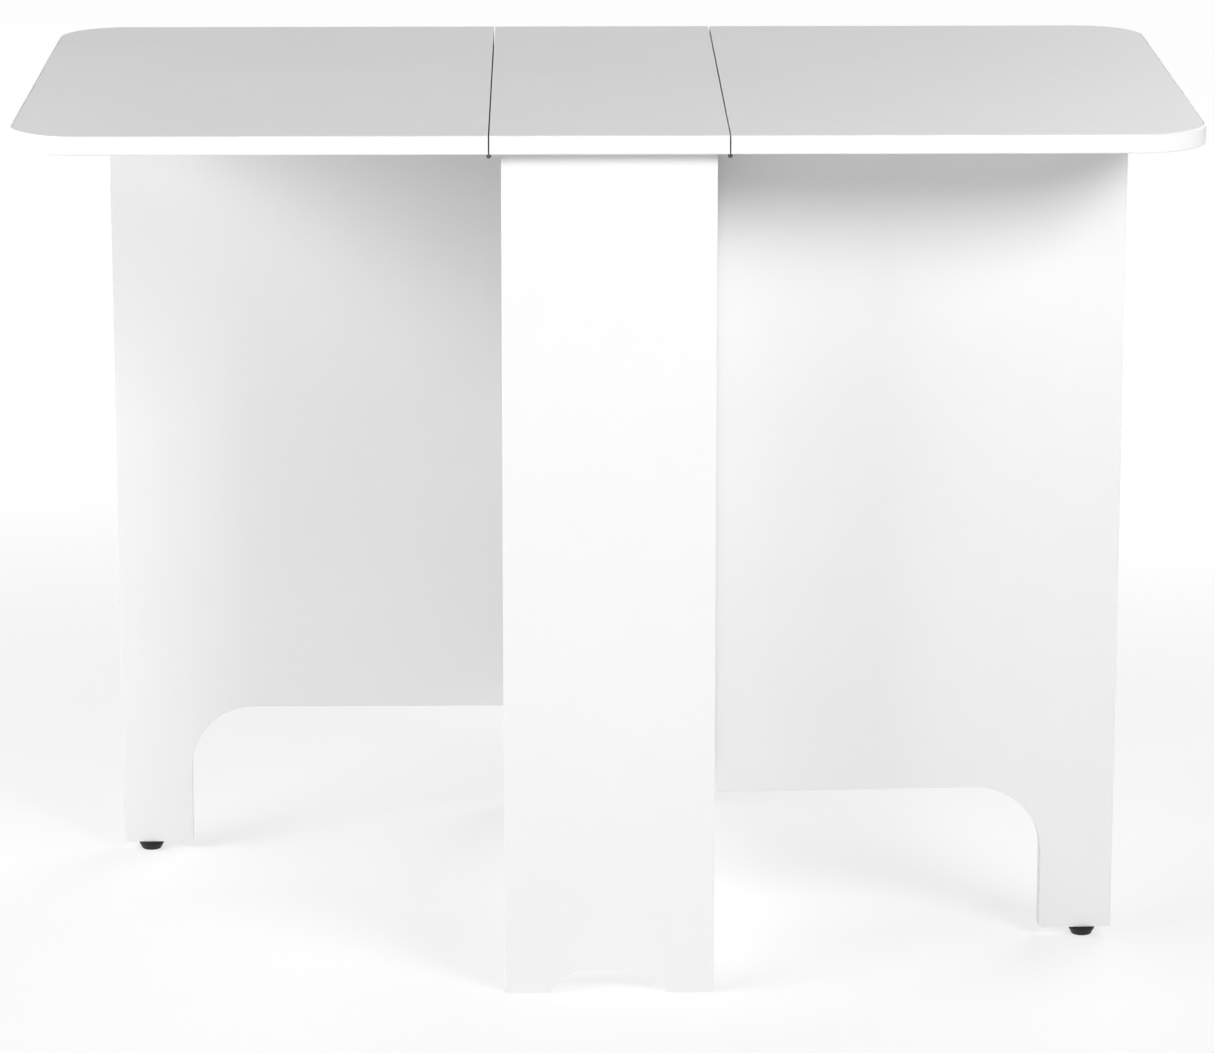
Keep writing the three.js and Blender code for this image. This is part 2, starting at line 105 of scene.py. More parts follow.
# Brackets and cam locks
BRACKET_HOLE_REACH = 18 * MM
BRACKET_THICKNESS = 2 * MM
CAM_RADIUS = 7.5 * MM
CAM_FACE = 3.2 * MM
CAM_WALL = 2.2 * MM
CAM_RELIEF = 0.2 * MM
CAM_RIM = ((0, 0.4), (0.15, 0.12), (0.45, 0), (1.1, 0), (1.3, 0.25))   # (inset, depth), mm
CAM_CROSS_ARM = 4.4 * MM
CAM_CROSS_HALF_WIDTH = 0.85 * MM
CAM_CROSS_DEPTH = 2 * MM
CAM_OPENING = math.radians(48)
CAM_STEPS = 40

# Gate feet and leaf pads
FOOT_SIDES = 72
FOOT_PROFILE = (                 # (radius, height), mm
    (6.6, 0.0), (8.1, 0.0), (8.6, 0.12), (8.95, 0.5), (9.2, 1.0), (9.9, 2.4), (10.6, 3.7),
    (11.15, 4.6), (11.4, 5.1), (11.5, 5.6), (11.5, 7.35), (11.38, 7.6), (11.1, 7.7), (2.0, 7.7),
    (2.0, 20.0), (0.3, 22.0),
)
PAD_RIM = ((0, 1.6), (0.25, 0.8), (0.75, 0.28), (1.5, 0))              # (inset, height), mm
PAD_STEPS = 28

# Softening of small edges
BOARD_EDGE = 0.15 * MM           # the top's boards, where their faces meet the band
BAND_RIM = 0.12 * MM
CAM_EDGE = 0.08 * MM
BOLT_EDGE = 0.1 * MM
BRACKET_EDGE = 0.3 * MM

# Camera, which stands in front of the table and looks a little down at it
CAMERA_PLACE = Vector((-0.055, -4.70, 1.509))
CAMERA_AIM = Vector((0.0014, 0, 0.3432))
CAMERA_LENS = 160

# Light
SKY = ((0.05, 0.98), (0.13, 0.06), (0.75, 0.06))     # (sine of the height above the horizon, brightness)
FLOOR_RADIUS = 60
FLOOR_NEAR, FLOOR_FAR = 0.6, 3.0                     # the floor's own glow changes between these distances
FLOOR_GLOW_NEAR, FLOOR_GLOW_FAR = 0.62, 0.95
FLOOR_CAST_FAR = 0.36                                # the light that the far floor casts on the table
LAMP_DISTANCE = 3.2
LAMPS = (
    # name, azimuth, elevation, width, height, spread, height aimed at, power
    ("front_left", -55, 22, 1.4, 1.0, 180, 0.45, 39),
    ("left", -75, 22, 1.4, 1.0, 180, 0.45, 42),
    ("front_right_high", 20, 33, 1.4, 1.3, 180, 0.45, 4),
    ("front_right_beam", 38, 24, 1.4, 1.0, 60, 0.62, 9),
    ("back_left", -145, 32, 2.0, 1.6, 180, 0.45, 8),
    ("back_right", 145, 32, 2.0, 1.6, 180, 0.45, 46),
)
MATT_LAMPS = ("front_right_high", "front_right_beam")   # these leave no glare on the top


# ---------- node helpers ----------

class Shader:
    """A small wrapper round one material's node tree."""

    def __init__(self, name):
        self.material = bpy.data.materials.new(name)
        self.material.use_nodes = True
        self.tree = self.material.node_tree
        self.bsdf = self.tree.nodes["Principled BSDF"]
        coordinates = self.tree.nodes.new("ShaderNodeTexCoord")
        self.place = coordinates.outputs["Object"]

    def set(self, **values):
        for socket, value in values.items():
            self.bsdf.inputs[socket.replace("_", " ")].default_value = value

    def link(self, source, target):
        self.tree.links.new(source, target)

    def stretched(self, scale):
        """The object's own coordinates, scaled by an amount for each axis."""
        mapping = self.tree.nodes.new("ShaderNodeMapping")
        mapping.inputs["Scale"].default_value = scale
        self.link(self.place, mapping.inputs["Vector"])
        return mapping.outputs["Vector"]

    def noise(self, scale, detail=2.0, roughness=0.5, place=None):
        node = self.tree.nodes.new("ShaderNodeTexNoise")
        node.inputs["Scale"].default_value = scale
        node.inputs["Detail"].default_value = detail
        node.inputs["Roughness"].default_value = roughness
        self.link(place or self.place, node.inputs["Vector"])
        return node.outputs["Fac"]

    def cells(self, scale, feature="F1"):
        node = self.tree.nodes.new("ShaderNodeTexVoronoi")
        node.feature = feature
        node.inputs["Scale"].default_value = scale
        self.link(self.place, node.inputs["Vector"])
        return node

    def ramp(self, source, *stops):
        """A colour ramp from (position, colour) pairs."""
        node = self.tree.nodes.new("ShaderNodeValToRGB")
        elements = node.color_ramp.elements
        while len(elements) < len(stops):
            elements.new(0.5)
        for element, (position, colour) in zip(elements, stops):
            element.position = position
            element.color = (*colour, 1)
        self.link(source, node.inputs["Fac"])
        return node.outputs["Color"]

    def spread(self, source, low, high):
        """A number that runs from low to high as the source runs over a noise's usual values."""
        node = self.tree.nodes.new("ShaderNodeMapRange")
        node.inputs["From Min"].default_value = 0.3
        node.inputs["From Max"].default_value = 0.7
        node.inputs["To Min"].default_value = low
        node.inputs["To Max"].default_value = high
        self.link(source, node.inputs["Value"])
        return node.outputs["Result"]

    def bump(self, height, strength, distance, below=None):
        node = self.tree.nodes.new("ShaderNodeBump")
        node.inputs["Strength"].default_value = strength
        node.inputs["Distance"].default_value = distance
        self.link(height, node.inputs["Height"])
        if below is not None:
            self.link(below, node.inputs["Normal"])
        return node.outputs["Normal"]

    def finish(self, colour, roughness, normal):
        self.link(colour, self.bsdf.inputs["Base Color"])
        self.link(roughness, self.bsdf.inputs["Roughness"])
        self.link(normal, self.bsdf.inputs["Normal"])
        return self.material


def grey(value, warmth=0.0):
    """A near-neutral colour: warmth takes a little blue away."""
    return (value, value * (1 - warmth / 2), value * (1 - warmth))


# ---------- materials ----------

def white_laminate():
    """Melamine-faced board: a pearled press texture, faint clouds of tone and gloss."""
    s = Shader("white_laminate")
    s.set(Specular_IOR_Level=0.12)
    clouds = s.noise(6, detail=4, roughness=0.6)
    colour = s.ramp(clouds, (0.3, grey(0.792)), (0.7, grey(0.808)))
    roughness = s.spread(s.noise(35, detail=3), 0.48, 0.56)
    pearl = s.noise(1500, detail=2, roughness=0.45)
    press = s.noise(300, detail=2, roughness=0.5)
    normal = s.bump(pearl, 0.3, 0.05 * MM)
    normal = s.bump(press, 0.25, 0.1 * MM, below=normal)
    return s.finish(colour, roughness, normal)


def edge_tape():
    """Thin melamine tape on a board's edges: a touch whiter, with trimming lines along it."""
    s = Shader("edge_tape")
    s.set(Specular_IOR_Level=0.4)
    clouds = s.noise(12, detail=3)
    colour = s.ramp(clouds, (0.3, grey(0.8)), (0.7, grey(0.825)))
    roughness = s.spread(s.noise(60, detail=2), 0.36, 0.46)
    lines = s.noise(1, detail=3, place=s.stretched((900, 900, 40)))
    return s.finish(colour, roughness, s.bump(lines, 0.08, 0.04 * MM))


def edge_band():
    """The top's thick plastic band: smooth, slightly glossier, with faint cutter chatter."""
    s = Shader("edge_band")
    s.set(Specular_IOR_Level=0.45)
    clouds = s.noise(9, detail=3)
    colour = s.ramp(clouds, (0.3, grey(0.815)), (0.7, grey(0.832)))
    roughness = s.spread(s.noise(45, detail=3), 0.3, 0.4)
    chatter = s.noise(1, detail=2, place=s.stretched((420, 420, 30)))
    grain = s.noise(1800, detail=2)
    normal = s.bump(chatter, 0.05, 0.05 * MM)
    normal = s.bump(grain, 0.05, 0.03 * MM, below=normal)
    return s.finish(colour, roughness, normal)


def plated_steel(name, dark, light, low_gloss, high_gloss, grain):
    """Plated steel with drawing marks that run along the grain axis."""
    s = Shader(name)
    s.set(Metallic=1.0)
    marks = s.noise(1, detail=4, roughness=0.65, place=s.stretched(grain))
    blotches = s.noise(70, detail=3)
    colour = s.ramp(blotches, (0.3, grey(dark, 0.02)), (0.7, grey(light, 0.01)))
    roughness = s.spread(marks, low_gloss, high_gloss)
    return s.finish(colour, roughness, s.bump(marks, 0.15, 0.03 * MM))


def cast_zinc():
    """Die-cast zinc of the cam locks: dull, with fine pits."""
    s = Shader("cast_zinc")
    s.set(Metallic=1.0)
    pits = s.cells(1400).outputs["Distance"]
    clouds = s.noise(160, detail=4, roughness=0.6)
    colour = s.ramp(clouds, (0.3, grey(0.46, 0.01)), (0.7, grey(0.6, 0.005)))
    roughness = s.spread(s.noise(300, detail=2), 0.38, 0.55)
    return s.finish(colour, roughness, s.bump(pits, 0.15, 0.05 * MM))


def moulded_plastic(name, dark, light, low_gloss, high_gloss):
    """Injection-moulded plastic with a fine spark-eroded grain."""
    s = Shader(name)
    s.set(Specular_IOR_Level=0.4)
    grain = s.cells(2600).outputs["Distance"]
    scuffs = s.noise(220, detail=4, roughness=0.7)
    colour = s.ramp(scuffs, (0.35, grey(dark, 0.01)), (0.75, grey(light, 0.01)))
    roughness = s.spread(scuffs, low_gloss, high_gloss)
    return s.finish(colour, roughness, s.bump(grain, 0.2, 0.05 * MM))


def floor_paint():
    """Plain pale floor. It glows a little, and more far away, so that it stays white beyond the lamps.
    Its far part casts less light on the table than it shows, which keeps the shadow under the leaves dark."""
    s = Shader("floor")
    s.set(Specular_IOR_Level=0.0, Roughness=0.9)
    s.bsdf.inputs["Emission Color"].default_value = (1, 1, 1, 1)
    clouds = s.noise(0.8, detail=2)
    s.link(s.ramp(clouds, (0.3, grey(0.34)), (0.7, grey(0.36))), s.bsdf.inputs["Base Color"])
    distance = s.tree.nodes.new("ShaderNodeVectorMath")
    distance.operation = "LENGTH"
    s.link(s.place, distance.inputs[0])
    glow = s.tree.nodes.new("ShaderNodeMapRange")
    glow.interpolation_type = "SMOOTHSTEP"
    glow.inputs["From Min"].default_value = FLOOR_NEAR
    glow.inputs["From Max"].default_value = FLOOR_FAR
    glow.inputs["To Min"].default_value = FLOOR_GLOW_NEAR
    s.link(distance.outputs["Value"], glow.inputs["Value"])
    seen = s.tree.nodes.new("ShaderNodeLightPath").outputs["Is Camera Ray"]
    far_glow = s.tree.nodes.new("ShaderNodeMapRange")
    far_glow.inputs["To Min"].default_value = FLOOR_CAST_FAR
    far_glow.inputs["To Max"].default_value = FLOOR_GLOW_FAR
    s.link(seen, far_glow.inputs["Value"])
    s.link(far_glow.outputs["Result"], glow.inputs["To Max"])
    s.link(glow.outputs["Result"], s.bsdf.inputs["Emission Strength"])
    return s.material


LAMINATE = white_laminate()
TAPE = edge_tape()
BAND = edge_band()
HINGE_STEEL_X = plated_steel("leaf_hinge_steel", 0.14, 0.21, 0.3, 0.48, (900, 18, 900))
HINGE_STEEL_Z = plated_steel("gate_hinge_steel", 0.18, 0.26, 0.3, 0.48, (900, 900, 18))
PIN_STEEL = plated_steel("pin_steel", 0.3, 0.38, 0.22, 0.35, (700, 40, 40))
SCREW_STEEL = plated_steel("screw_steel", 0.32, 0.45, 0.25, 0.4, (900, 900, 900))
BRACKET_STEEL = plated_steel("bracket_steel", 0.42, 0.55, 0.28, 0.45, (60, 700, 700))
ZINC = cast_zinc()
BLACK_PLASTIC = moulded_plastic("black_plastic", 0.006, 0.01, 0.45, 0.6)
PAD_PLASTIC = moulded_plastic("pad_plastic", 0.66, 0.72, 0.45, 0.6)


# ---------- mesh helpers ----------

def arc(centre, radius, start, end, steps):
    """Points on an arc about a 2-D centre, ends included."""
    points = []
    for i in range(steps + 1):
        angle = start + (end - start) * i / steps
        points.append((centre[0] + radius * math.cos(angle), centre[1] + radius * math.sin(angle)))
    return points


def object_from(mesh_builder, name, materials):
    mesh = bpy.data.meshes.new(name)
    mesh_builder.to_mesh(mesh)
    mesh_builder.free()
    for material in materials:
        mesh.materials.append(material)
    mesh.shade_smooth()
    mesh.set_sharp_from_angle(angle=SHARP_ANGLE)
    piece = bpy.data.objects.new(name, mesh)
    bpy.context.scene.collection.objects.link(piece)
    return piece


def soften(piece, width, steps=2):
    """Rounds a piece's sharp edges and keeps its flat faces flat."""
    bevel = piece.modifiers.new("edges", "BEVEL")
    bevel.width = width
    bevel.segments = steps
    bevel.limit_method = "ANGLE"
    bevel.angle_limit = SHARP_ANGLE
    bevel.use_clamp_overlap = True
    normals = piece.modifiers.new("normals", "WEIGHTED_NORMAL")
    normals.weight = 100
    return piece


def prism(name, outline, low, high, place, materials):
    """A board: an outline extruded from low to high. place(u, v, w) gives a point in space.
    The broad faces take the first material and the edges the last."""
    builder = bmesh.new()
    lower = [builder.verts.new(place(u, v, low)) for u, v in outline]
    upper = [builder.verts.new(place(u, v, high)) for u, v in outline]
    builder.faces.new(list(reversed(lower)))
    builder.faces.new(upper)
    count = len(outline)
    for i in range(count):
        j = (i + 1) % count
        edge_face = builder.faces.new((lower[i], lower[j], upper[j], upper[i]))
        edge_face.material_index = len(materials) - 1
    return closed(builder, name, materials)


def flat(u, v, w):
    """Places a board that lies flat: its outline is seen from above."""
    return Vector((u, v, w))


def upright(u, v, w):
    """Places a board that stands facing the front: its outline is seen from the front."""
    return Vector((u, w, v))


def replace_with(piece, node):
    """The piece stands for a CAD node and rides on that node's body."""
    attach(piece, body_of(node))
    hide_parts(node)
    return piece


def body_of(node):
    for body, members in frame["record"]["behaviour"]["bodies"].items():
        if node in members:
            return body
    raise KeyError(node)


def turned(place, half_turn):
    """The same placing, or its copy half a turn round the table's middle."""
    turn = Matrix.Diagonal((-1, -1, 1)) if half_turn else Matrix.Identity(3)
    return lambda u, v, w: turn @ place(u, v, w)


def stack(builder, rings):
    """Joins rings of points into a closed shell, from its first end to its last."""
    loops = [[builder.verts.new(point) for point in ring] for ring in rings]
    builder.faces.new(list(reversed(loops[0])))
    builder.faces.new(loops[-1])
    for lower, upper in zip(loops, loops[1:]):
        for i in range(len(lower)):
            j = (i + 1) % len(lower)
            builder.faces.new((lower[i], lower[j], upper[j], upper[i]))


def circle(centre, side, up, radius, steps):
    """Points on a circle in space."""
    angles = [math.tau * i / steps for i in range(steps)]
    return [centre + (side * math.cos(a) + up * math.sin(a)) * radius for a in angles]


def closed(builder, name, materials):
    """The object of a finished closed mesh, with its faces all turned outwards."""
    bmesh.ops.recalc_face_normals(builder, faces=builder.faces)
    return object_from(builder, name, materials)


def square_to(direction):
    """Two directions square to a given one, and to each other."""
    side = direction.orthogonal().normalized()
    if abs(direction.z) < 0.9:
        side = UP.cross(direction).normalized()
    return side, direction.cross(side).normalized()


def cross_angles(arm, half_width):
    """Even angles round a circle, with those of the corners of a cross among them."""
    corner = math.atan2(half_width, arm)
    angles = {round(math.tau * i / CROSS_SIDES, 6) for i in range(CROSS_SIDES)}
    for quarter in range(4):
        for offset in (-corner, corner, math.pi / 4):
            angles.add(round((quarter * math.pi / 2 + offset) % math.tau, 6))
    return sorted(angles)


def cross_radius(angle, arm, half_width):
    """How far a cross reaches at an angle."""
    turn = (angle + math.pi / 4) % (math.pi / 2) - math.pi / 4
    return min(arm / math.cos(turn), half_width / max(abs(math.sin(turn)), 1e-6))


def cross_head(builder, centre, out, profile, arm, half_width, recess):
    """A round head with a cross recess. Its profile lists (radius, height) from its back to its face."""
    side, up = square_to(out)
    angles = cross_angles(arm, half_width)

    def ring(radius_at, height):
        return [
            centre + out * height + (side * math.cos(a) + up * math.sin(a)) * radius_at(a) for a in angles
        ]

    face_height = profile[-1][1]
    rings = [ring(lambda a, r=radius: r, height) for radius, height in profile]
    rings.append(ring(lambda a: cross_radius(a, arm, half_width), face_height))
    rings.append(ring(lambda a: CROSS_TAPER * cross_radius(a, arm, half_width), face_height - recess))
    stack(builder, rings)


def screws(name, spots, out, radius, body, head=SUNK_HEAD):
    """All the screw heads of one plate, as one piece."""
    profile = [(r * radius, h * radius) for r, h in head]
    cross = CROSS_ARM * radius, CROSS_HALF_WIDTH * radius, CROSS_DEPTH * radius
    builder = bmesh.new()
    for spot in spots:
        cross_head(builder, spot, out, profile, *cross)
    piece = closed(builder, name, [SCREW_STEEL])
    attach(piece, body)
    return piece


# ---------- table top ----------

def leaf_outline(inset):
    """A leaf from the joint outwards, drawn for the right-hand side."""
    low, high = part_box("right_leaf_band")
    radius = CORNER_RADIUS - inset
    corner_x = high.x - CORNER_RADIUS
    corner_y = high.y - CORNER_RADIUS
    quarter = math.pi / 2
    return [
        (low.x, -high.y + inset),
        *arc((corner_x, -corner_y), radius, -quarter, 0, CORNER_STEPS),
        *arc((corner_x, corner_y), radius, 0, quarter, CORNER_STEPS),
        (low.x, high.y - inset),
    ]


def band_piece(name, outer, inner, low, high, place):
    """An edge band between two outlines, with its outer rims rounded over."""
    builder = bmesh.new()
    rings = []
    for outline in (outer, inner):
        for w in (low, high):
            rings.append([builder.verts.new(place(u, v, w)) for u, v in outline])
    outer_low, outer_high, inner_low, inner_high = rings
    strips = (
        (outer_low, outer_high), (inner_high, inner_low), (outer_high, inner_high), (inner_low, outer_low),
    )
    for a, b in strips:
        for i in range(len(a) - 1):
            builder.faces.new((a[i], a[i + 1], b[i + 1], b[i]))
    for end in (0, -1):
        builder.faces.new((outer_low[end], outer_high[end], inner_high[end], inner_low[end]))
    bmesh.ops.recalc_face_normals(builder, faces=builder.faces)
    rims = set(outer_low), set(outer_high)
    sharp = [e for e in builder.edges if any(set(e.verts) <= rim for rim in rims)]
    bmesh.ops.bevel(
        builder, geom=sharp, offset=BAND_EDGE, segments=4, profile=0.5, affect="EDGES", clamp_overlap=True,
    )
    return soften(object_from(builder, name, [BAND]), BAND_RIM, 1)


def make_top():
    for hand in SIDES:
        place = turned(flat, hand == "left")
        low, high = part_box(f"{hand}_leaf")
        outline = leaf_outline(BAND_THICKNESS + GLUE_LINE)
        board = prism(f"{hand}_leaf_board", outline, low.z, high.z, place, [LAMINATE])
        replace_with(soften(board, BOARD_EDGE, 1), f"{hand}_leaf")
        outer, inner = leaf_outline(0), leaf_outline(BAND_THICKNESS)
        band = band_piece(f"{hand}_leaf_edge_band", outer, inner, low.z, high.z, place)
        replace_with(band, f"{hand}_leaf_band")
    low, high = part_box("centre_top")
    outline = [(low.x, low.y), (high.x, low.y), (high.x, high.y), (low.x, high.y)]
    board = prism("centre_board", outline, low.z, high.z, flat, [LAMINATE])
    replace_with(soften(board, BOARD_EDGE, 1), "centre_top")
    for end in ("front", "back"):
        node = f"centre_top_band_{end}"
        low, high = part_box(node)
        near, far = (low.y, high.y) if end == "front" else (high.y, low.y)
        outer = [(low.x, near), (high.x, near)]
        inner = [(low.x, far), (high.x, far)]
        band = band_piece(f"centre_edge_band_{end}", outer, inner, low.z, high.z, flat)
        replace_with(band, node)


# ---------- end panels and gates ----------

def arch_side():
    """One side of the arch, from the floor up to its flat crown: a curve with one control point."""
    foot, shoulder = Vector((ARCH_HALF_WIDTH, 0)), Vector((ARCH_SHOULDER, ARCH_HEIGHT))
    crown = Vector((ARCH_FLAT, ARCH_HEIGHT))
    points = []
    for i in range(ARCH_STEPS + 1):
        t = i / ARCH_STEPS
        points.append(tuple(foot * (1 - t) ** 2 + shoulder * 2 * t * (1 - t) + crown * t * t))
    return points


def make_end_panels():
    quarter = math.pi / 2
    for end in ("front", "back"):
        node = f"end_panel_{end}"
        low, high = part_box(node)
        corner = high.x - PANEL_FOOT_RADIUS
        side = arch_side()
        outline = [
            *arc((corner, PANEL_FOOT_RADIUS), PANEL_FOOT_RADIUS, -quarter, 0, SMALL_STEPS),
            (high.x, high.z),
            (low.x, high.z),
            *arc((-corner, PANEL_FOOT_RADIUS), PANEL_FOOT_RADIUS, 2 * quarter, 3 * quarter, SMALL_STEPS),
            *[(-u, v) for u, v in side],
            *reversed(side),
        ]
        panel = prism(f"{end}_end_panel", outline, low.y, high.y, upright, [LAMINATE, TAPE])
        replace_with(soften(panel, LAMINATE_EDGE), node)


def joint_named(name):
    return next(joint for joint in frame["joints"] if joint["name"] == name)


def gate_frame(hand):
    """The gate's pivot, the way it stands out from it and the way through its thickness."""
    joint = joint_named(f"{hand}_gate_swing")
    pivot = Vector(joint["pos_m"])
    open_angle = -math.radians(joint["range_deg"][0])
    out = Vector((1 if hand == "right" else -1, 0, 0))
    turn = Matrix.Rotation(open_angle, 3, "Z")
    return pivot, turn @ out, turn @ UP.cross(out)


def make_gates():
    quarter = math.pi / 2
    for hand in SIDES:
        node = f"{hand}_gate"
        pivot, out, through = gate_frame(hand)
        vertices = [v.co for v in frame["nodes"][node].data.vertices]
        reach = [(v - pivot).dot(out) for v in vertices]
        depth = [(v - pivot).dot(through) for v in vertices]
        low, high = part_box(node)
        near, far = min(reach), max(reach)
        leg_inner = far - GATE_LEG_WIDTH
        under = low.z + GATE_UNDER_STEP
        foot = low.z + PANEL_FOOT_RADIUS
        inner_corner = leg_inner - GATE_INNER_RADIUS, under - GATE_INNER_RADIUS
        toe_inner = leg_inner + PANEL_FOOT_RADIUS, foot
        toe_outer = far - PANEL_FOOT_RADIUS, foot
        outline = [
            (near, under),
            *arc(inner_corner, GATE_INNER_RADIUS, quarter, 0, CORNER_STEPS),
            *arc(toe_inner, PANEL_FOOT_RADIUS, 2 * quarter, 3 * quarter, SMALL_STEPS),
            *arc(toe_outer, PANEL_FOOT_RADIUS, -quarter, 0, SMALL_STEPS),
            (far, high.z),
            (near, high.z),
        ]

        def stand(u, v, w, pivot=pivot, out=out, through=through):
            return Vector((pivot.x, pivot.y, 0)) + out * u + through * w + UP * v

        gate = prism(f"{hand}_gate_panel", outline, min(depth), max(depth), stand, [LAMINATE, TAPE])
        replace_with(soften(gate, LAMINATE_EDGE), node)


# ---------- piano hinges ----------

def rolled_outline(near, far):
    """The rolled end of a hinge plate, as (across, out) points from the plate's upper edge round the pin and
    back to its lower edge. near and far are the plate's two faces, measured out from the axis."""
    start = math.asin(far / BARREL_RADIUS)
    end = math.tau + math.asin((near - SEAM_GAP) / BARREL_RADIUS)
    points = [(PLATE_START, far)]
    points += arc((0, 0), BARREL_RADIUS, start, end, ROLL_STEPS)
    inner_start = math.asin(near / BORE_RADIUS) if near < BORE_RADIUS else math.pi / 3
    points += arc((0, 0), BORE_RADIUS, end, inner_start, ROLL_STEPS)
    if near > BORE_RADIUS:
        points.append((BORE_RADIUS * 0.95, near))
    points.append((PLATE_START, near))
    return points


def hinge_plate(name, node, place, near, far, length, reach, first, steel):
    """A hinge plate and every second knuckle, in one skin. place(across, out, along) gives a point."""
    builder = bmesh.new()
    roll = rolled_outline(near, far)
    pitch = length / KNUCKLES
    stops = [(0.0, False)]
    for i in range(first, KNUCKLES, 2):
        stops += [(i * pitch + KNUCKLE_GAP / 2, True), ((i + 1) * pitch - KNUCKLE_GAP / 2, False)]
    stops.append((length, False))
    corners = ((PLATE_START, far), (reach, far), (reach, near), (PLATE_START, near))
    rows = [[builder.verts.new(place(a, f, along)) for a, f in corners] for along, _ in stops]
    builder.faces.new(rows[0])
    builder.faces.new(list(reversed(rows[-1])))
    for (low, rolled), (high, _), here, there in zip(stops, stops[1:], rows, rows[1:]):
        for i in range(3):
            builder.faces.new((here[i], here[i + 1], there[i + 1], there[i]))
        if not rolled:
            builder.faces.new((here[3], here[0], there[0], there[3]))
            continue
        ends = [[builder.verts.new(place(a, f, along)) for a, f in roll[1:-1]] for along in (low, high)]
        near_loop = [here[0], *ends[0], here[3]]
        far_loop = [there[0], *ends[1], there[3]]
        builder.faces.new(near_loop)
        builder.faces.new(list(reversed(far_loop)))
        for i in range(len(near_loop) - 1):
            builder.faces.new((near_loop[i], near_loop[i + 1], far_loop[i + 1], far_loop[i]))
    replace_with(closed(builder, name, [steel]), node)


def hinge_pin(name, node, start, axis, length):
    """The pin, with a rounded end that shows a little beyond the barrel's last knuckle."""
    side, up = square_to(axis)
    profile = [(r * PIN_RADIUS, h * PIN_RADIUS) for r, h in PIN_END]
    profile += [(r, length - h) for r, h in reversed(profile)]
    builder = bmesh.new()
    stack(builder, [circle(start + axis * h, side, up, r, ROLL_STEPS) for r, h in profile])
    replace_with(closed(builder, name, [PIN_STEEL]), node)


def screw_spots(length, count):
    step = (length - 2 * SCREW_END) / (count - 1)
    return [SCREW_END + i * step for i in range(count)]


def make_hinge(hand, kind, start, axis, far, reach, ways, screw_count, screw_radius, steel):
    """One hinge. ways gives each of its two plates the way across the plate and the way to its board."""
    low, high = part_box(f"{hand}_{kind}_hinge_pin")
    length = max(high - low)
    near = far - PLATE
    for first, part in enumerate(("fixed", "moving")):
        across, out = ways[part]

        def place(a, f, along, across=across, out=out):
            return start + across * a + out * f + axis * along

        node = f"{hand}_{kind}_hinge_{part}_plate"
        name = f"{hand}_{kind}_{part}_plate"
        hinge_plate(name, node, place, near, far, length, reach, first, steel)
        middle = (PLATE_START + reach) / 2
        spots = [place(middle, near, along) for along in screw_spots(length, screw_count)]
        screws(f"{name}_screws", spots, -out, screw_radius, body_of(node))
    hinge_pin(f"{hand}_{kind}_pin", f"{hand}_{kind}_hinge_pin", start, axis, length)


def make_leaf_hinge(hand, sign):
    low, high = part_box(f"{hand}_leaf_hinge_fixed_plate")
    start = Vector(joint_named(f"{hand}_leaf_lift")["pos_m"])
    start.y = low.y if hand == "right" else high.y
    reach = max(abs(corner.x - start.x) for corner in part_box(f"{hand}_leaf_hinge_moving_plate"))
    ways = {"fixed": (Vector((-sign, 0, 0)), UP), "moving": (Vector((sign, 0, 0)), UP)}
    make_hinge(
        hand, "leaf", start, Vector((0, sign, 0)), LEAF_PLATE_FAR, reach, ways,
        LEAF_HINGE_SCREWS, HINGE_SCREW, HINGE_STEEL_X,
    )


def make_gate_hinge(hand, sign):
    low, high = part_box(f"{hand}_gate_hinge_fixed_plate")
    pivot, out, through = gate_frame(hand)
    reach = max(abs(corner.x - pivot.x) for corner in (low, high))
    start = Vector((pivot.x, pivot.y, low.z))
    ways = {"fixed": (Vector((-sign, 0, 0)), Vector((0, -sign, 0))), "moving": (through, out)}
    make_hinge(
        hand, "gate", start, UP, GATE_PLATE_FAR, reach, ways,
        GATE_HINGE_SCREWS, GATE_HINGE_SCREW, HINGE_STEEL_Z,
    )


def make_hinges():
    for hand, sign in (("left", -1), ("right", 1)):
        make_leaf_hinge(hand, sign)
        make_gate_hinge(hand, sign)


# ---------- fittings ----------

def cam_frame(node):
    """Where a cam lock's disc meets the board's face, the way out of the board and the way to its panel."""
    low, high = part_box(node)
    middle = (low + high) / 2
    to_panel = Vector((0, 1 if middle.y > 0 else -1, 0))
    if "shelf" in node:
        return Vector((middle.x, middle.y, low.z)), -UP, to_panel
    if "rail" in node:
        return Vector((high.x, middle.y, middle.z)), Vector((1, 0, 0)), to_panel
    out = Vector((1 if middle.x < 0 else -1, 0, 0))
    return Vector((high.x if out.x > 0 else low.x, middle.y, middle.z)), out, to_panel


